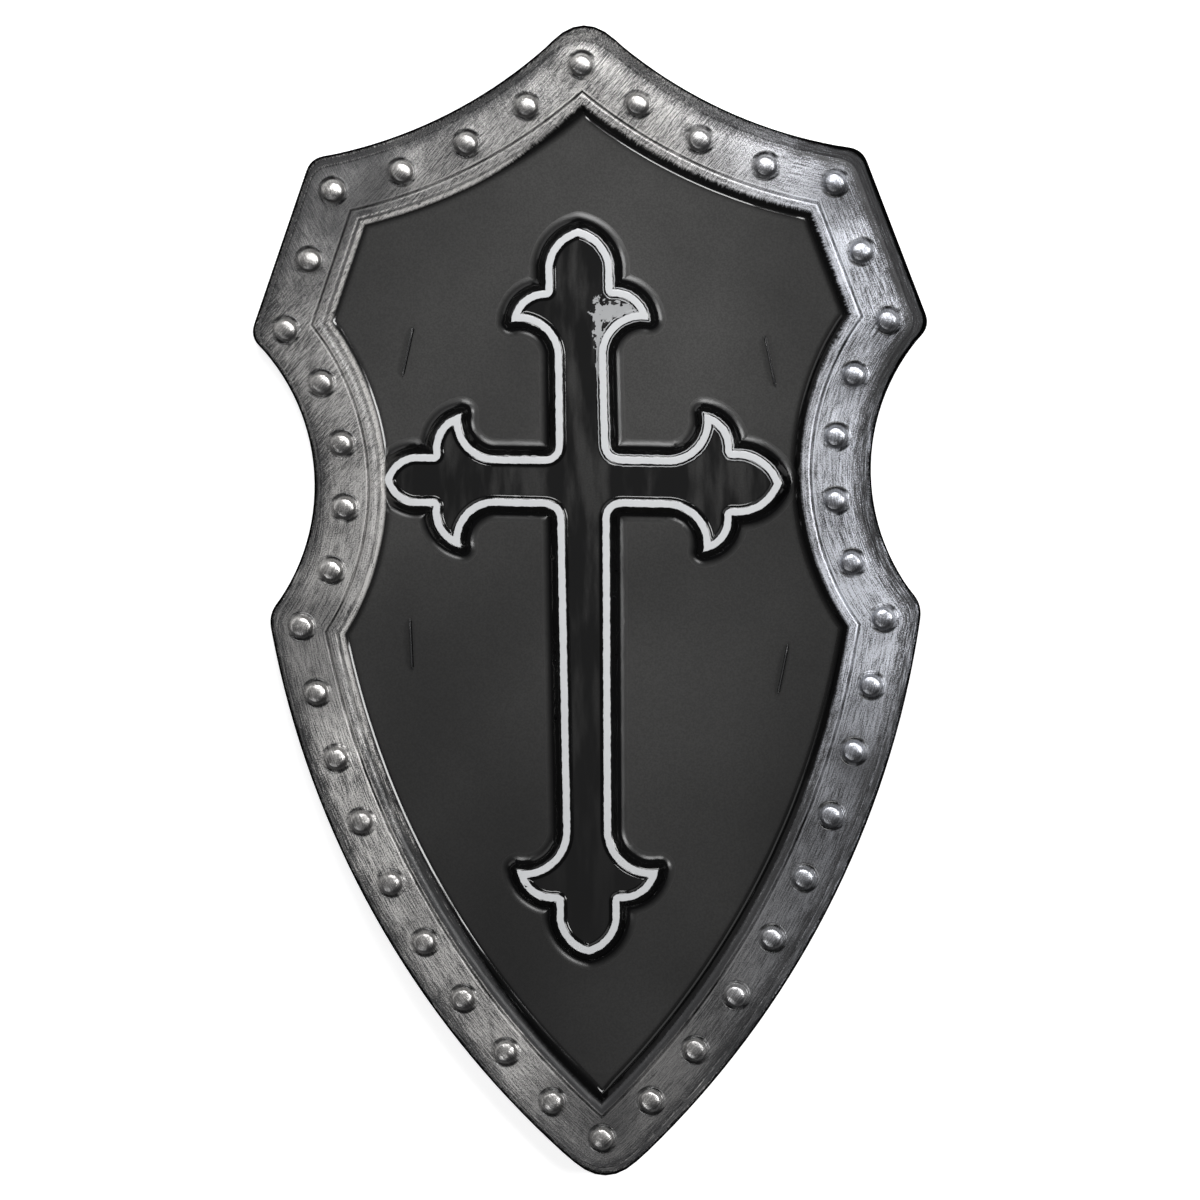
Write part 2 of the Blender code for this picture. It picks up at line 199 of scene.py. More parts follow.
# Floor: it glows outside an ellipse under the shield, so that no light shows through the slits
FLOOR_GLOW = 0.6
UNLIT_HALF_SIZES = (0.13, 0.24)
FLOOR_HALF_WIDTH = 30.0
FLOOR_GAP = 0.0002

# Silver, in millimetres: its depths in the border, a rivet's bare foot and bright cap, the painted
# highlight at the border's foot, that beside the groove, and the painted highlight lines along the border
# as (depth, brightness)
SILVER_START = (1.3, 2.1)
SILVER_END = (34.6, 36.8)
DULL_WALL = (6.2, 5.4)
RIVET_FOOT = 7.1
RIVET_CAP = (6.9, 5.8)
FOOT_HIGHLIGHT_DEPTH = 38.3
GROOVE_HIGHLIGHT_OFFSET = 1.1
PAINTED_HIGHLIGHT_LINES = ((1.6, 1.1), (4.8, 0.8), (35.2, 0.9))

# Brush strokes, and the streaks of painted reflection on the cross's panel: how fine they are along X, Y
# and Z, in units a metre, and how the strokes are turned
STROKE_FINENESS = (170.0, 2900.0, 300.0)
STROKE_TURNS = (math.radians(-64), math.radians(48))
SHEEN_STREAK_FINENESS = (110.0, 22.0, 40.0)
STRAP_GRAIN_FINENESS = (60.0, 2200.0, 900.0)

# How far the bumps stand out: the sheet's and the back's ripples, the brush strokes and the straps' grain
RIPPLE_RISE = 0.0006
STROKE_RISE = 0.00016
STRAP_GRAIN_RISE = 0.00008

# Zones of the silver, as where each fades in across and upwards; the low right, left side and upper left
# are painted shade
LEFT = (0.0, -0.06), (-0.26, -0.12)
UPPER_RIGHT = (0.1, 0.145), (0.08, 0.14)
SHADED_UPPER_LEFT = (0.0, -0.03), (0.12, 0.2)
SHADED_LEFT_SIDE = (-0.01, -0.11), (-0.07, 0.05)
SHADED_LOW_RIGHT = (-0.04, 0.04), (-0.03, -0.13)

# White, in millimetres inside the cross's edge: its line and the thin lines beside it, which are painted
# highlights
WHITE_START = (0.05, 0.3)
WHITE_END = (3.75, 4.0)
HIGHLIGHT_LINE_INSETS = (-0.75, 5.1)

# Patches of white painted as a reflection beside the cross's head, as (middle, half size)
WHITE_REFLECTION_PATCHES = (
    ((0.0118, 0.1552), (0.0072, 0.0042)),
    ((0.0195, 0.1560), (0.0080, 0.0026)),
    ((0.0062, 0.1480), (0.0026, 0.0110)),
    ((0.0060, 0.1330), (0.0013, 0.0120)),
)

# Places where the silver is painted lighter or darker as light and shade, as (middle, radius, change of its
# brightness)
PAINTED_LIGHT_PLACES = (
    ((-0.127, 0.228), 0.030, -0.45),
    ((-0.146, 0.188), 0.030, -0.20),
    ((-0.151, -0.024), 0.036, -0.48),
    ((-0.124, -0.110), 0.045, 0.55),
    ((-0.012, -0.270), 0.032, -0.45),
    ((0.136, 0.220), 0.020, -0.40),
    ((0.158, 0.172), 0.032, 0.55),
    ((0.144, 0.070), 0.034, 0.25),
    ((0.158, 0.004), 0.034, 0.25),
    ((0.150, -0.066), 0.036, -0.62),
)


class Stretch:
    """A stretch of the outline between two corners: straight with no radius, hollow with a negative one."""

    def __init__(self, start, end, radius=None):
        self.start, self.end, self.radius = Vector(start), Vector(end), radius
        chord = self.end - self.start
        inward = Vector((chord.y, -chord.x)).normalized()
        if radius is None:
            self.inward = inward
        else:
            sagitta_side = math.sqrt(radius**2 - (chord.length / 2) ** 2)
            middle = (self.start + self.end) / 2
            self.centre = middle + inward * math.copysign(sagitta_side, radius)

    def depth(self, point):
        """How far the point lies inside this stretch, and the direction inwards."""
        if self.radius is None:
            return (point - self.start).dot(self.inward), self.inward
        side = math.copysign(1, self.radius)
        outward = point - self.centre
        return (abs(self.radius) - outward.length) * side, -outward.normalized() * side

    def points(self, start, end, depth, steps):
        """The points between two of its corners when it is moved inwards, without the corners."""
        if self.radius is None:
            return arc(start, end, 0, steps)[:-1]
        radius = self.radius - depth
        turn = 2 * math.asin((end - start).length / 2 / radius)
        return arc(start, end, turn, steps)[:-1]


def arc(start, end, turn, steps):
    """Points along a round arc to the end, without its start. A positive turn bulges to the left."""
    chord = end - start
    points = []
    for step in range(1, steps + 1):
        along = step / steps
        if abs(turn) < TOLERANCE:
            points.append(start + chord * along)
            continue
        length = math.sin(along * turn / 2) / math.sin(turn / 2)
        points.append(start + Matrix.Rotation((1 - along) * turn / 2, 2) @ chord * length)
    return points


def fillet(before, corner, after, size, steps):
    """Points that round off a corner, from a cut on one side of it to a cut on the other."""
    first = corner + (before - corner).normalized() * size
    last = corner + (after - corner).normalized() * size
    shares = [step / steps for step in range(steps + 1)]
    return [first.lerp(corner, share).lerp(corner.lerp(last, share), share) for share in shares]


def mirrored(points):
    return [Vector((-point.x, point.y)) for point in reversed(points)]


def half_corners():
    """The sharp corners of the right half, from the peak down to the tip."""
    return [
        Vector((0, PEAK_Y)),
        Vector((SHOULDER_HALF_WIDTH, PEAK_Y - SHOULDER_DROP)),
        Vector((WING_HALF_WIDTH, PEAK_Y - WING_DROP)),
        Vector((HIP_HALF_WIDTH, PEAK_Y - HIP_DROP)),
        Vector((0, PEAK_Y - PEAK_TO_TIP)),
    ]


def moved_corner(corner, first, second, depth):
    """The corner of two stretches that are both moved inwards. A missing stretch is the middle line."""
    point = corner.copy()
    for _ in range(CORNER_ROUNDS):
        rows, missing = [], []
        for stretch in (first, second):
            here, inward = stretch.depth(point) if stretch else (point.x + depth, Vector((1, 0)))
            rows.append(inward)
            missing.append(depth - here)
        point += Matrix(rows).inverted() @ Vector(missing)
    return point


def outline(depth, roundings=None, steps=OUTLINE_STEPS):
    """The outline moved inwards by a depth, as a closed loop that runs clockwise from the peak."""
    sharp = half_corners()
    radii = (-TOP_RADIUS, None, -WAIST_RADIUS, LOWER_RADIUS)
    stretches = [Stretch(*ends, radius) for *ends, radius in zip(sharp, sharp[1:], radii)]
    pairs = zip(sharp, [None, *stretches], [*stretches, None])
    corners = [moved_corner(corner, first, second, depth) for corner, first, second in pairs]
    sides = [
        stretch.points(start, end, depth, count)
        for stretch, start, end, count in zip(stretches, corners, corners[1:], steps)
    ]
    corners += mirrored(corners[1:-1])
    sides += [mirrored(side) for side in reversed(sides)]
    loop = []
    for index, corner in enumerate(corners):
        if roundings:
            size = roundings[index]
            before = [corners[index - 1], *sides[index - 1]]
            after = [*sides[index], corners[(index + 1) % len(corners)]]
            sides[index - 1] = [point for point in sides[index - 1] if (point - corner).length > size]
            sides[index] = [point for point in sides[index] if (point - corner).length > size]
            last = next(point for point in reversed(before) if (point - corner).length > size)
            following = next(point for point in after if (point - corner).length > size)
            corners[index] = fillet(last, corner, following, size, ROUNDING_STEPS)
    for corner, side in zip(corners, sides):
        loop += corner if isinstance(corner, list) else [corner]
        loop += side
    return loop


def rivet_centres():
    """A rivet on each corner of the rivet line, and evenly spaced ones between."""
    corners = outline(RIVET_DEPTH, steps=(1, 1, 1, 1))
    counts = [round((end - start).length / RIVET_SPACING) for start, end in zip(corners, corners[1:5])]
    centres = outline(RIVET_DEPTH, steps=counts)
    centres[0].y -= PEAK_RIVET_DROP
    centres[sum(counts)].y += TIP_RIVET_RISE
    return centres


def arm_side(arm):
    """One side of an arm, from its tip to where its barb meets the stem, as (back, side) points."""
    tip = Vector((0, 0))
    spring = Vector((arm["spring"], arm["lobe"]))
    notch = Vector((arm["notch"], arm["lobe"]))
    barb = Vector((arm["barb_back"], arm["barb"]))
    joint = Vector((arm["joint"], arm["neck"]))
    points = [tip, *arc(tip, spring, LOBE_TURN, LOBE_STEPS), notch]
    points += arc(notch, barb, BARB_TURN, BARB_STEPS)
    return points + arc(barb, joint, -HOLLOW_TURN, HOLLOW_STEPS)


def cross_outline():
    """The outer edge of the cross's rim, as a closed loop that runs clockwise from the tip of its head."""
    crossing = Vector((CROSS_OFFSET, PEAK_Y - CROSSING_BELOW_PEAK))
    halves = []
    for quarter, arm in enumerate(ARMS.values()):
        outward = Matrix.Rotation(math.radians(-90 * quarter - arm["lean"]), 2) @ Vector((0, 1))
        across = Vector((outward.y, -outward.x))
        tip = crossing + outward * arm["reach"]
        for sign in (1, -1):
            halves.append([tip - outward * back + across * side * sign for back, side in arm_side(arm)])
    loop = []
    for index, (sign_x, sign_y) in enumerate([(1, 1), (1, -1), (-1, -1), (-1, 1)]):
        leaving = halves[2 * index]
        arriving = halves[(2 * index + 3) % len(halves)][::-1]
        corner = crossing + Vector((sign_x * STEM_HALF_WIDTH, sign_y * CROSSBAR_HALF_WIDTH))
        loop += leaving + fillet(leaving[-1], corner, arriving[0], CROSSING_FILLET, ROUNDING_STEPS)
        loop += arriving[:-1]
    return divided(loop, CROSS_SPACING)


def divided(loop, spacing):
    """The closed loop with points added, so that none of its edges is longer than the spacing."""
    points = []
    for start, end in zip(loop, loop[1:] + loop[:1]):
        pieces = math.ceil((end - start).length / spacing)
        points += [start.lerp(end, piece / pieces) for piece in range(pieces)]
    return points


def as_array(points):
    return np.array([(point.x, point.y) for point in points])


def nearest(points, loop):
    """Each point's distance to a closed loop, positive inside it, and how far along the loop that is."""
    start, end = loop, np.roll(loop, -1, axis=0)
    edge = end - start
    lengths = np.linalg.norm(edge, axis=1)
    begins = np.cumsum(lengths) - lengths
    rise = np.where(edge[:, 1] == 0, TOLERANCE, edge[:, 1])
    gaps, places = [], []
    for first in range(0, len(points), CHUNK):
        some = points[first:first + CHUNK]
        offset = some[:, None] - start
        share = np.clip((offset * edge).sum(axis=2) / lengths**2, 0, 1)
        distance = np.linalg.norm(offset - share[..., None] * edge, axis=2)
        best = distance.argmin(axis=1)
        rows = np.arange(len(some))
        above = (start[:, 1] > some[:, None, 1]) != (end[:, 1] > some[:, None, 1])
        crossing_x = start[:, 0] + (some[:, None, 1] - start[:, 1]) / rise * edge[:, 0]
        inside = (above & (some[:, None, 0] < crossing_x)).sum(axis=1) % 2 == 1
        gaps.append(np.where(inside, distance[rows, best], -distance[rows, best]))
        places.append(begins[best] + share[rows, best] * lengths[best])
    return np.concatenate(gaps), np.concatenate(places)


def offset_loop(loop, distance):
    """The clockwise loop moved inwards, or outwards by a negative distance, without what would fold."""
    points = as_array(loop)
    forward = np.roll(points, -1, axis=0) - points
    forward /= np.linalg.norm(forward, axis=1)[:, None]
    inward = np.stack([forward[:, 1], -forward[:, 0]], axis=1)
    moved = []
    for point, before, after in zip(points, np.roll(inward, 1, axis=0), inward):
        before, after = Vector(before), Vector(after)
        angle = before.angle_signed(after, 0) * -1
        if angle * distance > 0:
            steps = math.ceil(abs(angle) / OFFSET_TURN)
            turns = [Matrix.Rotation(angle * step / steps, 2) for step in range(steps + 1)]
            moved += [Vector(point) + turn @ before * distance for turn in turns]
        else:
            middle = (before + after).normalized()
            moved.append(Vector(point) + middle * distance / max(middle.dot(after), MITRE_LIMIT))
    gaps = nearest(as_array(moved), points)[0] * math.copysign(1, distance)
    return [point for point, gap in zip(moved, gaps) if gap > abs(distance) * LEAST_MOVE]


def ring(centre, radius, sides):
    turns = [math.tau * side / sides for side in range(sides)]
    return [centre + Vector((math.cos(turn), math.sin(turn))) * radius for turn in turns]


def slit_places():
    """Each slit as (strap, place, direction along it)."""
    ahead = Vector((0, 1))
    return [
        (strap, Vector(place) + ahead * PEAK_Y, Matrix.Rotation(math.radians(lean), 2) @ ahead)
        for strap, place, lean in SLITS
    ]


def slit_loop(place, along, margin=0.0):
    half_length = along * (SLIT_LENGTH / 2 + margin)
    across = Vector((along.y, -along.x)) * (SLIT_WIDTH / 2 + margin)
    corners = (half_length + across, half_length - across, -half_length - across, -half_length + across)
    return [place + corner for corner in corners]


def rounded_profile(corners, steps=PROFILE_STEPS):
    """(position, height) points of a profile whose (position, height, rounding) corners are rounded off."""
    flat = [Vector(corner[:2]) for corner in corners]
    points = flat[:1]
    for before, corner, after, (_, _, size) in zip(flat, flat[1:], flat[2:], corners[1:]):
        points += fillet(before, corner, after, size, steps)
    return points + flat[-1:]


def border_profile():
    top = BORDER_HEIGHT
    return rounded_profile((
        (0, SHEET_THICKNESS, 0),
        (RIM_WIDTH, SHEET_THICKNESS, 0.7 * MM),
        (SHOULDER_LINE, top, 1.5 * MM),
        (BAND_END, top, 0.35 * MM),
        (GROOVE_MIDDLE, top - 0.9 * MM, 0.3 * MM),
        (BEAD_START + 0.2 * MM, top + 0.35 * MM, 0.9 * MM),
        (BEAD_END - 0.2 * MM, top + 0.1 * MM, 2.0 * MM),
        (FIELD_START, FIELD_HEIGHT, 3.4 * MM),
        (FIELD_START + 3 * MM, FIELD_HEIGHT, 0),
    ))


def cross_profile():
    foot, top = FIELD_HEIGHT, FIELD_HEIGHT + CROSS_HEIGHT
    return rounded_profile((
        (-CROSS_SLOPE_RUN - 3 * MM, foot, 0),
        (-CROSS_SLOPE_RUN + 1.2 * MM, foot, 4.0 * MM),
        (-0.5 * MM, top, 1.3 * MM),
        (CROSS_RIM_WIDTH, top, 0.6 * MM),
        (PANEL_START, top - CROSS_PANEL_DROP, 0.6 * MM),
        (PANEL_START + 1.2 * MM, top - CROSS_PANEL_DROP, 0),
    ))


def rivet_profile():
    """(radius, rise) points from a rivet's flared ring up to its middle."""
    points = rounded_profile((
        (RIVET_RING_RADIUS, 0, 0),
        (RIVET_RADIUS + 0.9 * MM, 0.15 * MM, 0.5 * MM),
        (RIVET_RADIUS + 0.1 * MM, 0.8 * MM, 0.4 * MM),
        (RIVET_RADIUS - 0.35 * MM, 1.0 * MM, 0.15 * MM),
        (RIVET_RADIUS - 0.9 * MM, 2.7 * MM, 0),
    ), 2)[:-1]
    shoulder, rise = RIVET_RADIUS - 1.1 * MM, 2.3 * MM
    for share in (1.0, 0.9, 0.75, 0.5, 0.25, 0):
        height = rise + (RIVET_HEIGHT - rise) * math.sqrt(1 - share**2)
        points.append(Vector((shoulder * share, height)))
    return points


def sheet_contours():
    """The contour lines, as (points, depth in the border or None, (rivet distance, height) or None)."""
    lines = []
    for depth, _ in border_profile():
        roundings = ROUNDINGS if depth < RIVET_DEPTH else None
        lines.append((outline(depth, roundings), depth, None))
    rng = random.Random(RIVET_SEED)
    profile = rivet_profile()
    for centre in rivet_centres():
        swell = rng.uniform(*RIVET_SWELL)
        for radius, rise in profile[:-1]:
            lines.append((ring(centre, radius, RIVET_SIDES), None, (radius, BORDER_HEIGHT + rise * swell)))
        lines.append(([centre], None, (0, BORDER_HEIGHT + RIVET_HEIGHT * swell)))
    cross = cross_outline()
    for inset, _ in cross_profile():
        lines.append((offset_loop(cross, inset) if abs(inset) > TOLERANCE else cross, None, None))
    lines.append((cross, None, None))
    for _, place, along in slit_places():
        for margin in (0.0, *SLIT_MARGINS):
            lines.append((divided(slit_loop(place, along, margin), CROSS_SPACING), None, None))
    lines += [([point], None, None) for point in field_points(cross)]
    return lines


def field_points(cross):
    """A loose grid over the flat field, clear of the cross and the slits."""
    across = np.arange(-WING_HALF_WIDTH, WING_HALF_WIDTH, FIELD_SPACING)
    upwards = np.arange(PEAK_Y - PEAK_TO_TIP, PEAK_Y, FIELD_SPACING)
    shifts = [(row % 2) * FIELD_SPACING / 2 for row in range(len(upwards))]
    grid = np.array([(x + shift, y) for shift, y in zip(shifts, upwards) for x in across])
    keep = nearest(grid, as_array(outline(0)))[0] > FIELD_START + FIELD_SPACING / 2
    keep &= nearest(grid, as_array(cross))[0] < -CROSS_SLOPE_RUN - FIELD_SPACING
    for _, place, along in slit_places():
        keep &= nearest(grid, as_array(slit_loop(place, along, SLIT_MARGINS[-1])))[0] < -FIELD_SPACING / 3
    return [Vector(point) for point in grid[keep]]


def sheet_mesh(name):
    """The front of the sheet, open at the slits, with its distances kept as attributes."""
    lines = sheet_contours()
    points, edges, owners = joined(lines)
    flat, _, faces, sources, _, _ = delaunay_2d_cdt(points, edges, [], 1, WELD)
    plan = as_array(flat)
    depth, along = nearest(plan, as_array(outline(0)))
    inset, _ = nearest(plan, as_array(cross_outline()))
    rivet = np.full(len(flat), 2 * RIVET_RING_RADIUS)
    rivet_height = np.full(len(flat), -1.0)
    for index, source in enumerate(sources):
        for point in source:
            _, given_depth, given_rivet = lines[owners[point]]
            if given_depth is not None:
                depth[index] = given_depth
            if given_rivet:
                rivet[index], rivet_height[index] = given_rivet
    border = np.interp(depth, *zip(*border_profile()))
    cross = np.interp(inset, *zip(*cross_profile()))
    cross[depth < BEAD_START] = 0
    heights = np.where(rivet_height > 0, rivet_height, np.maximum(border, cross))
    mesh = bpy.data.meshes.new(name)
    shift = middle_height()
    places = [(x, y - shift, height) for (x, y), height in zip(plan, heights)]
    mesh.from_pydata(places, [], outside_slits(faces, plan))
    keep_in_millimetres(mesh, {
        "depth_mm": depth,
        "inset_mm": inset,
        "rivet_mm": rivet,
        "above_rivet_mm": above_rivet(plan),
        "along_mm": np.minimum(along, along.max() - along),
    })
    return mesh


def joined(lines):
    """The contour lines' points, the edges that close each line, and the line that owns each point."""
    points, edges, owners = [], [], []
    for owner, (loop, _, _) in enumerate(lines):
        first, count = len(points), len(loop)
        points += loop
        owners += [owner] * count
        if count > 1:
            edges += [(first + step, first + (step + 1) % count) for step in range(count)]
    return points, edges, owners


def above_rivet(plan):
    """How far above the middle of its nearest rivet each point lies, up to a rivet's ring."""
    offsets = plan[:, None, :] - as_array(rivet_centres())[None, :, :]
    closest = np.argmin((offsets**2).sum(axis=2), axis=1)
    upward = offsets[np.arange(len(plan)), closest, 1]
    return np.clip(upward, -RIVET_RING_RADIUS, RIVET_RING_RADIUS)


def outside_slits(faces, plan):
    centres = np.array([plan[list(face)].mean(axis=0) for face in faces])
    gone = np.zeros(len(faces), bool)
    for _, place, along in slit_places():
        gone |= nearest(centres, as_array(slit_loop(place, along)))[0] > 0
    return [face for face, out in zip(faces, gone) if not out]


def keep_in_millimetres(mesh, distances):
    for name, values in distances.items():
        made = mesh.attributes.new(name, "FLOAT", "POINT")
        made.data.foreach_set("value", (values / MM).astype(np.float32))


def middle_height():
    """Where the middle of the rounded outline lies along Y, which the CAD takes as its origin."""
    heights = [point.y for point in outline(0, ROUNDINGS)]
    return (max(heights) + min(heights)) / 2


def thickened(name, mesh, thickness, offset, node, materials):
    """A sheet that stands for a CAD node: a surface with a thickness. The last material is its back's."""
    piece = bpy.data.objects.new(name, mesh)
    bpy.context.scene.collection.objects.link(piece)
    for material in materials:
        mesh.materials.append(material)
    shell = piece.modifiers.new("Thickness", "SOLIDIFY")
    shell.material_offset = len(materials) - 1
    shell.thickness = thickness
    shell.offset = offset
    shell.use_quality_normals = True
    whole = bpy.data.meshes.new_from_object(piece.evaluated_get(bpy.context.evaluated_depsgraph_get()))
    piece.modifiers.clear()
    piece.data = whole
    whole.shade_smooth()
    whole.set_sharp_from_angle(angle=SHARP_ANGLE)
    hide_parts(node)
    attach(piece, "root")
    return piece


def shader_node(tree, kind, inputs=(), **settings):
    """A new node with its settings and inputs, each input a value or another node's output."""
    made = tree.nodes.new(kind)
    for name, value in settings.items():
        setattr(made, name, value)
    for key, value in dict(inputs).items():
        if isinstance(value, bpy.types.NodeSocket):
            tree.links.new(value, made.inputs[key])
        else:
            made.inputs[key].default_value = value
    return made


class Shading:
    """Short names for the shader nodes that the materials are made of."""

    def __init__(self, name):
        self.material = bpy.data.materials.new(name)
        self.material.use_nodes = True
        self.tree = self.material.node_tree
        self.shader = self.tree.nodes["Principled BSDF"]
        self.place = shader_node(self.tree, "ShaderNodeTexCoord").outputs["Object"]

    def attribute(self, name):
        return shader_node(self.tree, "ShaderNodeAttribute", attribute_name=name).outputs["Fac"]

    def calc(self, operation, *values):
        inputs = dict(enumerate(values))
        return shader_node(self.tree, "ShaderNodeMath", inputs, operation=operation).outputs[0]

    def add(self, first, second, factor=1.0):
        """The first value plus the second times a factor."""
        return self.calc("MULTIPLY_ADD", second, factor, first)

    def product(self, first, *others):
        for other in others:
            first = self.calc("MULTIPLY", first, other)
        return first

    def most(self, first, second):
        return self.calc("MAXIMUM", first, second)

    def off(self, value, middle):
        """How far a value lies from a middle one."""
        return self.calc("ABSOLUTE", self.calc("SUBTRACT", value, middle))

    def step(self, value, low, high, start=0.0, end=1.0):
        """A smooth step from start to end while the value goes from low to high."""
        inputs = {"Value": value, "From Min": low, "From Max": high, "To Min": start, "To Max": end}
        made = shader_node(self.tree, "ShaderNodeMapRange", inputs, interpolation_type="SMOOTHSTEP")
        return made.outputs["Result"]

    def axes(self):
        """The object coordinates' X and Y."""
        made = shader_node(self.tree, "ShaderNodeSeparateXYZ", {0: self.place})
        return made.outputs["X"], made.outputs["Y"]

    def distance(self, place, half=(1.0, 1.0)):
        """How far a point lies from a place in plan, with each axis counted in its half size."""
        squares = []
        for axis, middle, size in zip(self.axes(), place, half):
            share = self.calc("DIVIDE", self.calc("SUBTRACT", axis, middle), size)
            squares.append(self.calc("POWER", share, 2.0))
        return self.calc("SQRT", self.calc("ADD", *squares))

    def mix(self, share, first, second):
        made = shader_node(self.tree, "ShaderNodeMix", {0: share, 6: first, 7: second}, data_type="RGBA")
        return made.outputs[2]

    def blend(self, share, first, second):
        return shader_node(self.tree, "ShaderNodeMix", {0: share, 2: first, 3: second}).outputs[0]

    def noise(self, scale, detail=2.0, at=None, roughness=0.5):
        inputs = {"Vector": at or self.place, "Scale": scale, "Detail": detail, "Roughness": roughness}
        return shader_node(self.tree, "ShaderNodeTexNoise", inputs).outputs["Fac"]

    def stretched(self, fineness, turn=0.0):
        """Object coordinates along axes turned about Z, with so many units a metre along each."""
        scale = [1 / axis for axis in fineness]
        inputs = {"Vector": self.place, "Scale": scale, "Rotation": (0, 0, turn)}
        made = shader_node(self.tree, "ShaderNodeMapping", inputs, vector_type="TEXTURE")
        return made.outputs["Vector"]

    def vector(self, x, y, z):
        return shader_node(self.tree, "ShaderNodeCombineXYZ", {0: x, 1: y, 2: z}).outputs[0]

    def bump(self, height, distance, normal=None):
        inputs = {"Height": height, "Distance": distance, "Strength": 1.0}
        if normal:
            inputs["Normal"] = normal
        return shader_node(self.tree, "ShaderNodeBump", inputs).outputs["Normal"]

    def set(self, **inputs):
        for name, value in inputs.items():
            socket = self.shader.inputs[name.replace("_", " ")]
            if isinstance(value, bpy.types.NodeSocket):
                self.tree.links.new(value, socket)
            else:
                socket.default_value = value


class SheetShading(Shading):
    """The pressed sheet's shading, with its distances in millimetres and what its paint has in common."""

    def __init__(self):
        super().__init__("pressed_sheet")
        self.depth = self.attribute("depth_mm")
        self.inset = self.attribute("inset_mm")
        self.rivet = self.attribute("rivet_mm")
        self.above_rivet = self.attribute("above_rivet_mm")
        self.along = self.attribute("along_mm")
        self.across, self.upwards = self.axes()
        self.on_left, self.on_right = self.zone(*LEFT), self.zone(*UPPER_RIGHT)
        self.low = self.step(self.upwards, 0.0, -0.2)
        self.specks = self.noise(1100.0, 2.0)
        self.patches = self.noise(16.0, 4.0, roughness=0.65)
        self.strokes = brush_strokes(self)
        self.off_groove = self.off(self.depth, GROOVE_MIDDLE / MM)

    def zone(self, across, upwards):
        return self.product(self.step(self.across, *across), self.step(self.upwards, *upwards))


def brush_strokes(s):
    """Strokes that slant at the top left, and follow the border lower down and on the right."""
    slanting = [
        s.noise(1.0, 4.0, at=s.stretched(STROKE_FINENESS, turn), roughness=0.72)
        for turn in STROKE_TURNS
    ]
    slanting = s.blend(s.step(s.noise(6.0, 1.0), 0.42, 0.55), *slanting)
    stripes = s.vector(s.product(s.along, 0.09), s.product(s.depth, 1.8), s.across)
    lengthwise = s.noise(1.0, 4.0, at=stripes, roughness=0.7)
    turned = s.most(s.step(s.upwards, 0.12, 0.02, 0.0, 0.75), s.step(s.across, 0.06, 0.13, 0.0, 0.7))
    strokes = s.blend(turned, slanting, lengthwise)
    return s.add(strokes, s.calc("SUBTRACT", s.noise(1500.0, 2.0), 0.5), 0.45)


def plastic_colour(s):
    """Black with a soft haze and painted sheen on the flat field, less on the cross's panel, none on slopes
    as painted shade.
    """
    # painted shade: no haze on the cross's slopes or the border's inner wall, so that they stay dark
    haze_and_sheen = s.product(s.step(s.inset, -4.5, -9.0), s.step(s.depth, 38.6, 44.0))
    haze_and_sheen = s.product(haze_and_sheen, s.step(s.noise(8.0, 3.0), 0.3, 0.72, 0.75, 1.25))
    # painted light: the sheen is brighter towards the top and the right
    sheen_fading = s.add(s.step(s.upwards, -0.26, 0.2, 0.2, 0.64), s.step(s.across, -0.06, 0.02), 0.12)
    haze_and_sheen = s.product(haze_and_sheen, s.add(sheen_fading, s.step(s.across, 0.05, 0.12), -0.2))
    # streaks of painted reflection on the cross's panel
    sheen_streaks = s.noise(1.0, 4.0, at=s.stretched(SHEEN_STREAK_FINENESS))
    sheen_streaks = s.product(s.step(sheen_streaks, 0.42, 0.7, 0.0, 0.5), s.step(s.upwards, -0.2, 0.12, 0.1, 1.0))
    haze_and_sheen = s.add(haze_and_sheen, s.product(s.step(s.inset, 5.2, 7.0), sheen_streaks))
    haze_and_sheen = s.product(haze_and_sheen, s.step(s.specks, 0.3, 0.7, 0.86, 1.14))
    return s.mix(haze_and_sheen, PLASTIC_BLACK, PLASTIC_HAZE_AND_SHEEN)


def silver_cover(s):
    """How much silver there is: little on the outer wall, in the groove and at the rivets' feet."""
    start = s.add(s.add(s.depth, s.strokes, 1.2), s.on_right, -0.9)
    outer = s.step(start, *SILVER_START)
    hairs = s.vector(s.product(s.along, 1.3), s.product(s.depth, 0.10), s.across)
    hairs = s.calc("SUBTRACT", s.noise(1.0, 3.0, at=hairs), 0.5)
    length = s.product(s.step(s.upwards, 0.1, 0.16, 1.4, 5.5), s.add(1.0, s.on_left, -0.8))
    end = s.add(s.add(s.depth, s.on_left, -3.4), s.product(hairs, length))
    inner = s.step(end, *SILVER_END, 1.0, 0.0)
    groove = s.most(s.step(s.off_groove, 0.3, 0.55), s.step(s.patches, 0.4, 0.6, 0.0, 0.7))
    sides = s.step(s.calc("ABSOLUTE", s.above_rivet), 5.6, 2.6)
    worn = s.step(s.noise(95.0, 1.0), 0.5, 0.66, 0.05, 0.8)
    foot = s.most(s.step(s.off(s.rivet, RIVET_FOOT), 0.5, 1.6), s.most(sides, worn))
    cover = s.step(s.add(s.strokes, s.patches, 0.5), 0.5, 0.8, 0.4, 1.0)
    return s.product(outer, inner, groove, foot, cover)


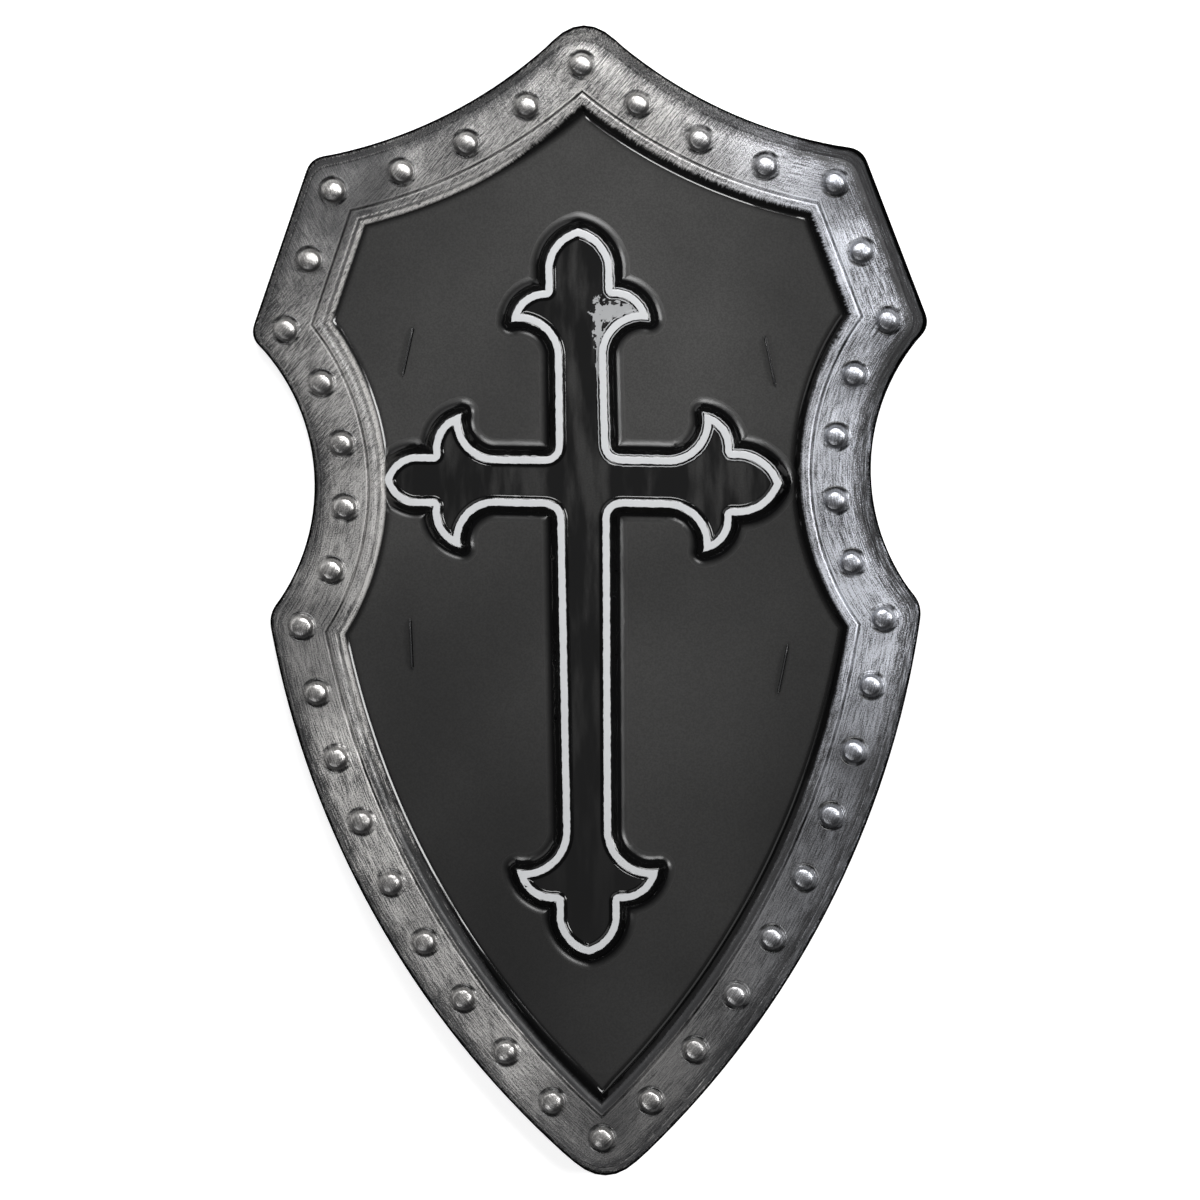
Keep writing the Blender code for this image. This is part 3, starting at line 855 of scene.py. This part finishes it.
def silver_light(s):
    """How brightly the brushed silver shows, with painted highlights beside the groove, before the painted
    light of its place changes that.
    """
    light = s.add(s.product(s.patches, 1.1), s.strokes, 3.0)
    light = s.calc("SUBTRACT", light, s.step(s.depth, 12.0, 5.0, 0.0, 0.35))
    light = s.add(light, s.product(s.on_right, s.step(s.depth, 14.0, 5.0)), -0.25)
    light = s.add(light, s.product(s.low, s.step(s.depth, 30.8, 32.5)), -0.7)
    # painted highlights: light lines on both shoulders of the groove
    light = s.add(light, s.step(s.off(s.off_groove, GROOVE_HIGHLIGHT_OFFSET), 0.5, 0.0), 0.4)
    return s.step(light, 1.58, 2.62)


def painted_light_on_silver(s):
    """Painted light and shade: how each place lightens or darkens the silver, with painted highlights along
    the border.
    """
    # painted shade: darker lower down, and most at the lower right
    painted_light = s.calc("SUBTRACT", 1.0, s.add(s.product(s.low, 0.08), s.zone(*SHADED_LOW_RIGHT), 0.62))
    # painted light: the right hip is lighter; the left side and upper left are painted shade
    lit_right_hip = s.product(s.step(s.across, 0.09, 0.13), s.step(s.off(s.upwards, -0.02), 0.09, 0.03))
    painted_light = s.add(painted_light, s.add(s.product(lit_right_hip, 0.55), s.zone(*SHADED_LEFT_SIDE), -0.26))
    painted_light = s.add(painted_light, s.zone(*SHADED_UPPER_LEFT), -0.25)
    # places painted lighter or darker as light and shade
    for place, radius, change in PAINTED_LIGHT_PLACES:
        painted_light = s.add(painted_light, s.step(s.distance(place), 1.3 * radius, 0.5 * radius, 0.0, change))
    painted_light = s.most(painted_light, 0.15)
    # painted highlight: a bright line at the foot of the border's inner wall on the left
    painted_foot_highlight = s.step(s.off(s.depth, FOOT_HIGHLIGHT_DEPTH), 1.5, 0.7)
    painted_light = s.add(painted_light, s.product(painted_foot_highlight, s.on_left), 2.0)
    # painted highlights: light lines along the border's edges
    for depth, share in PAINTED_HIGHLIGHT_LINES:
        painted_light = s.most(painted_light, s.step(s.off(s.depth, depth), 0.75, 0.25, 0.0, share))
    return painted_light


def silver_colour(s, cap):
    """Silver from dark to bright, warmer on the left and bluish on the right as painted reflection, with
    each rivet's cap painted bright on its upper side as a highlight.
    """
    light = silver_light(s)
    # painted highlight: each rivet's cap is brighter on its upper side
    painted_cap_highlight = s.step(s.add(s.above_rivet, s.strokes, 3.0), -2.5, 5.0, 0.15, 1.7)
    painted_cap_highlight = s.product(s.most(light, 0.4), painted_cap_highlight)
    light = s.blend(cap, s.product(light, painted_light_on_silver(s)), painted_cap_highlight)
    # painted reflection: the silver turns bluish towards the right
    tint_and_blue_sheen = s.mix(s.step(s.across, 0.03, 0.14), *SILVER_TINT_AND_BLUE_SHEEN)
    return s.mix(light, SILVER_DARK, tint_and_blue_sheen)


def white_paint(s):
    """The line on the cross's rim, thin painted highlight lines beside it at the upper right, and white
    patches of painted reflection.
    """
    inset = s.add(s.add(s.inset, -0.45), s.noise(320.0, 2.0), 0.9)
    white = s.product(s.step(inset, *WHITE_START), s.step(inset, *WHITE_END, 1.0, 0.0))
    # painted highlights: thin white lines beside the line at the upper right
    highlight_zone = s.product(s.step(s.across, -0.002, 0.002), s.step(s.upwards, 0.06, 0.07))
    for edge in HIGHLIGHT_LINE_INSETS:
        painted_highlight_line = s.step(s.off(inset, edge), 0.34, 0.16, 0.0, 0.75)
        white = s.most(white, s.product(painted_highlight_line, highlight_zone))
    frayed = s.step(s.noise(420.0, 3.0), 0.3, 0.7, -0.55, 0.55)
    # painted reflection: white patches beside the cross's head
    painted_reflection = 0.0
    for place, half in WHITE_REFLECTION_PATCHES:
        painted_reflection = s.most(painted_reflection, s.step(s.add(s.distance(place, half), frayed), 1.1, 0.95))
    return s.most(white, s.product(painted_reflection, s.step(s.inset, 3.5, 4.5, 0.0, 0.6)))


def sheet_roughness(s, silver, white, cap):
    """Glossy plastic, duller on the cross's slope, in the silver and most of all on the outer wall."""
    rough = s.step(s.noise(40.0, 3.0), 0.3, 0.7, 0.08, 0.15)
    rough = s.most(rough, s.step(s.off(s.inset, -7.0), 3.0, 1.5, 0.0, 0.3))
    rough = s.blend(silver, rough, s.step(s.strokes, 0.3, 0.7, 0.5, 0.34))
    rough = s.blend(white, rough, s.step(s.specks, 0.3, 0.7, 0.28, 0.36))
    rough = s.blend(s.product(cap, silver), rough, 0.28)
    return s.most(rough, s.step(s.depth, *DULL_WALL, 0.0, 0.7))


def sheet_material():
    """Black glossy plastic with silver dry-brushed on the border and a white line round the cross."""
    s = SheetShading()
    silver, white = silver_cover(s), white_paint(s)
    cap = s.step(s.rivet, *RIVET_CAP)
    colour = s.mix(silver, plastic_colour(s), silver_colour(s, cap))
    colour = s.mix(white, colour, s.mix(s.noise(60.0), *WHITE_COLOURS))
    flat = s.product(s.step(s.depth, 4.4, 5.4, 0.3, 1.0), s.step(s.depth, 33.2, 34.6, 1.0, 0.15))
    metal = s.product(silver, s.calc("SUBTRACT", 1.0, white), flat, s.blend(cap, 0.55, 0.9))
    ripple = s.bump(s.noise(26.0, 2.0), RIPPLE_RISE)
    grain = s.bump(s.product(s.strokes, s.step(s.depth, 37.0, 35.0)), STROKE_RISE, normal=ripple)
    s.set(Base_Color=colour, Roughness=sheet_roughness(s, silver, white, cap), Metallic=metal)
    s.set(Specular_IOR_Level=s.step(s.depth, *DULL_WALL, 0.5, 0.0), Normal=grain)
    return s.material


def back_material():
    """The bare black plastic of the sheet's hollow side, where the paint doesn't reach."""
    s = Shading("sheet_back")
    clouds = s.noise(14.0, 4.0)
    specks = s.noise(900.0, 2.0)
    colour = s.mix(s.step(clouds, 0.35, 0.7), *BACK_COLOURS)
    rough = s.add(s.step(clouds, 0.3, 0.7, 0.2, 0.32), s.step(specks, 0.3, 0.7, -0.03, 0.03))
    s.set(Base_Color=colour, Roughness=rough, Normal=s.bump(s.noise(30.0, 3.0), RIPPLE_RISE))
    return s.material


def strap_material():
    """Satin black plastic band with a fine lengthwise grain."""
    s = Shading("strap_plastic")
    grain = s.noise(1.0, 3.0, at=s.stretched(STRAP_GRAIN_FINENESS))
    wear = s.noise(30.0, 4.0)
    colour = s.mix(s.step(wear, 0.35, 0.75), *STRAP_COLOURS)
    rough = s.step(grain, 0.3, 0.7, 0.32, 0.46)
    s.set(Base_Color=colour, Roughness=rough, Normal=s.bump(grain, STRAP_GRAIN_RISE))
    return s.material


def floor_material():
    """Pale paper with a little light of its own, except under the shield."""
    s = Shading("floor_paper")
    colour = s.mix(s.noise(3.0, 2.0), *FLOOR_COLOURS)
    s.set(Base_Color=colour, Roughness=s.step(s.noise(500.0), 0.3, 0.7, 0.75, 0.85))
    glow = s.step(s.distance((0.0, 0.0), UNLIT_HALF_SIZES), 0.9, 1.0, 0.0, FLOOR_GLOW)
    s.set(Emission_Color=(1, 1, 1, 1), Emission_Strength=glow)
    return s.material


def strap_rows(half_span):
    """Half a strap, from its end to its middle, as (distance from the slit, height, half width) rows."""
    back = FIELD_HEIGHT - SHEET_THICKNESS
    neck, full = STRAP_NECK_WIDTH / 2, STRAP_WIDTH / 2
    turn_height = back - STRAP_FACE_GAP - STRAP_THICKNESS
    rows = [
        (0, FIELD_HEIGHT + STRAP_TAB_RISE, STRAP_END_WIDTH / 2),
        (0, FIELD_HEIGHT + STRAP_FACE_GAP + STRAP_THICKNESS, STRAP_BARB_WIDTH / 2),
        (0, FIELD_HEIGHT + STRAP_FACE_GAP, neck),
        (0, back - STRAP_FACE_GAP, neck),
        (0, turn_height, full),
    ]
    for step in range(1, BEND_STEPS + 1):
        turn = math.pi / 2 * step / BEND_STEPS
        rows.append((STRAP_BEND * (1 - math.cos(turn)), turn_height - STRAP_BEND * math.sin(turn), full))
    highest = turn_height - STRAP_BEND
    lowest = STRAP_CLEAR_OF_REST + STRAP_THICKNESS / 2
    for step in range(1, SAG_STEPS + 1):
        share = step / SAG_STEPS
        height = lowest + (highest - lowest) * (1 + math.cos(math.pi * share)) / 2
        rows.append((STRAP_BEND + (half_span - STRAP_BEND) * share, height, full))
    return rows


def strap_mesh(name):
    """A flat band that leans with its slits at the ends and untwists towards its middle."""
    shift = middle_height()
    ends = [(place, along) for owner, place, along in slit_places() if owner == name]
    half_span = (ends[1][0] - ends[0][0]).length / 2
    half = strap_rows(half_span)
    across_shares = [step / 4 - 1 for step in range(9)]
    bm = bmesh.new()
    rows = []
    for (place, along), (other, _), part in ((*ends, half), (*ends[::-1], half[-2::-1])):
        toward = (other - place).normalized()
        for reach, height, width in part:
            middle_share = max(0, (reach - STRAP_BEND) / (half_span - STRAP_BEND))
            across = along.lerp(Vector((0, 1)), middle_share)
            centre = place + toward * reach - Vector((0, shift))
            places = [centre + across * width * share for share in across_shares]
            rows.append([bm.verts.new((*point, height)) for point in places])
    for row, following in zip(rows, rows[1:]):
        for step in range(len(row) - 1):
            bm.faces.new((row[step], following[step], following[step + 1], row[step + 1]))
    bmesh.ops.recalc_face_normals(bm, faces=bm.faces)
    mesh = bpy.data.meshes.new(name)
    bm.to_mesh(mesh)
    bm.free()
    return mesh


def build_pieces():
    sheet = sheet_mesh("pressed_sheet")
    materials = (sheet_material(), back_material())
    thickened("pressed_sheet", sheet, SHEET_THICKNESS, -1, "shield_shell", materials)
    materials = (strap_material(),)
    for name in ("upper_strap", "lower_strap"):
        mesh = strap_mesh(name)
        band = thickened(name + "_band", mesh, STRAP_THICKNESS, 0, name, materials)
        edge = band.modifiers.new("Edge", "BEVEL")
        edge.width = STRAP_EDGE_ROUNDING
        edge.segments = 2
        edge.limit_method = "ANGLE"


def build_floor():
    mesh = bpy.data.meshes.new("floor")
    half = FLOOR_HALF_WIDTH
    corners = [(-half, -half, 0), (half, -half, 0), (half, half, 0), (-half, half, 0)]
    mesh.from_pydata(corners, [], [(0, 1, 2, 3)])
    floor = bpy.data.objects.new("floor", mesh)
    bpy.context.scene.collection.objects.link(floor)
    floor.location.z = -FLOOR_GAP
    mesh.materials.append(floor_material())


def build_lamp(name, azimuth, elevation, distance, size, radiance):
    turn, rise = math.radians(azimuth), math.radians(elevation)
    direction = Vector((math.sin(turn) * math.cos(rise), math.cos(turn) * math.cos(rise), math.sin(rise)))
    data = bpy.data.lights.new(name, "AREA")
    data.shape = "RECTANGLE"
    data.size, data.size_y = size
    data.energy = radiance * math.pi * size[0] * size[1]
    lamp = bpy.data.objects.new(name, data)
    lamp.location = direction * distance
    lamp.rotation_mode = "QUATERNION"
    lamp.rotation_quaternion = direction.to_track_quat("Z", "Y")
    lamp.visible_camera = False
    bpy.context.scene.collection.objects.link(lamp)


def build_lights():
    world = bpy.data.worlds.new("studio")
    world.use_nodes = True
    world.node_tree.nodes["Background"].inputs["Color"].default_value = WORLD_COLOUR
    bpy.context.scene.world = world
    for lamp in LAMPS:
        build_lamp(*lamp)


def build_camera():
    """A long lens at the photograph's angle, so that it is almost free of perspective."""
    tilt = math.tan(PHOTO_TILT)
    back = Vector((tilt, tilt, 1)).normalized()
    target = Vector((PHOTO_MIDDLE[0], PHOTO_MIDDLE[1] - middle_height(), 0))
    up = Vector((math.sin(PHOTO_ROLL), math.cos(PHOTO_ROLL), 0))
    right = up.cross(back).normalized()
    turned = Matrix((right, back.cross(right), back)).transposed()
    data = bpy.data.cameras.new("camera")
    data.sensor_width = SENSOR
    data.lens = SENSOR * CAMERA_DISTANCE / PHOTO_WIDTH
    data.clip_end = 100.0
    camera = bpy.data.objects.new("camera", data)
    camera.matrix_world = Matrix.Translation(target + back * CAMERA_DISTANCE) @ turned.to_4x4()
    bpy.context.scene.collection.objects.link(camera)
    bpy.context.scene.camera = camera


build_pieces()
build_floor()
build_lights()
build_camera()
bpy.context.scene.view_settings.view_transform = "Standard"
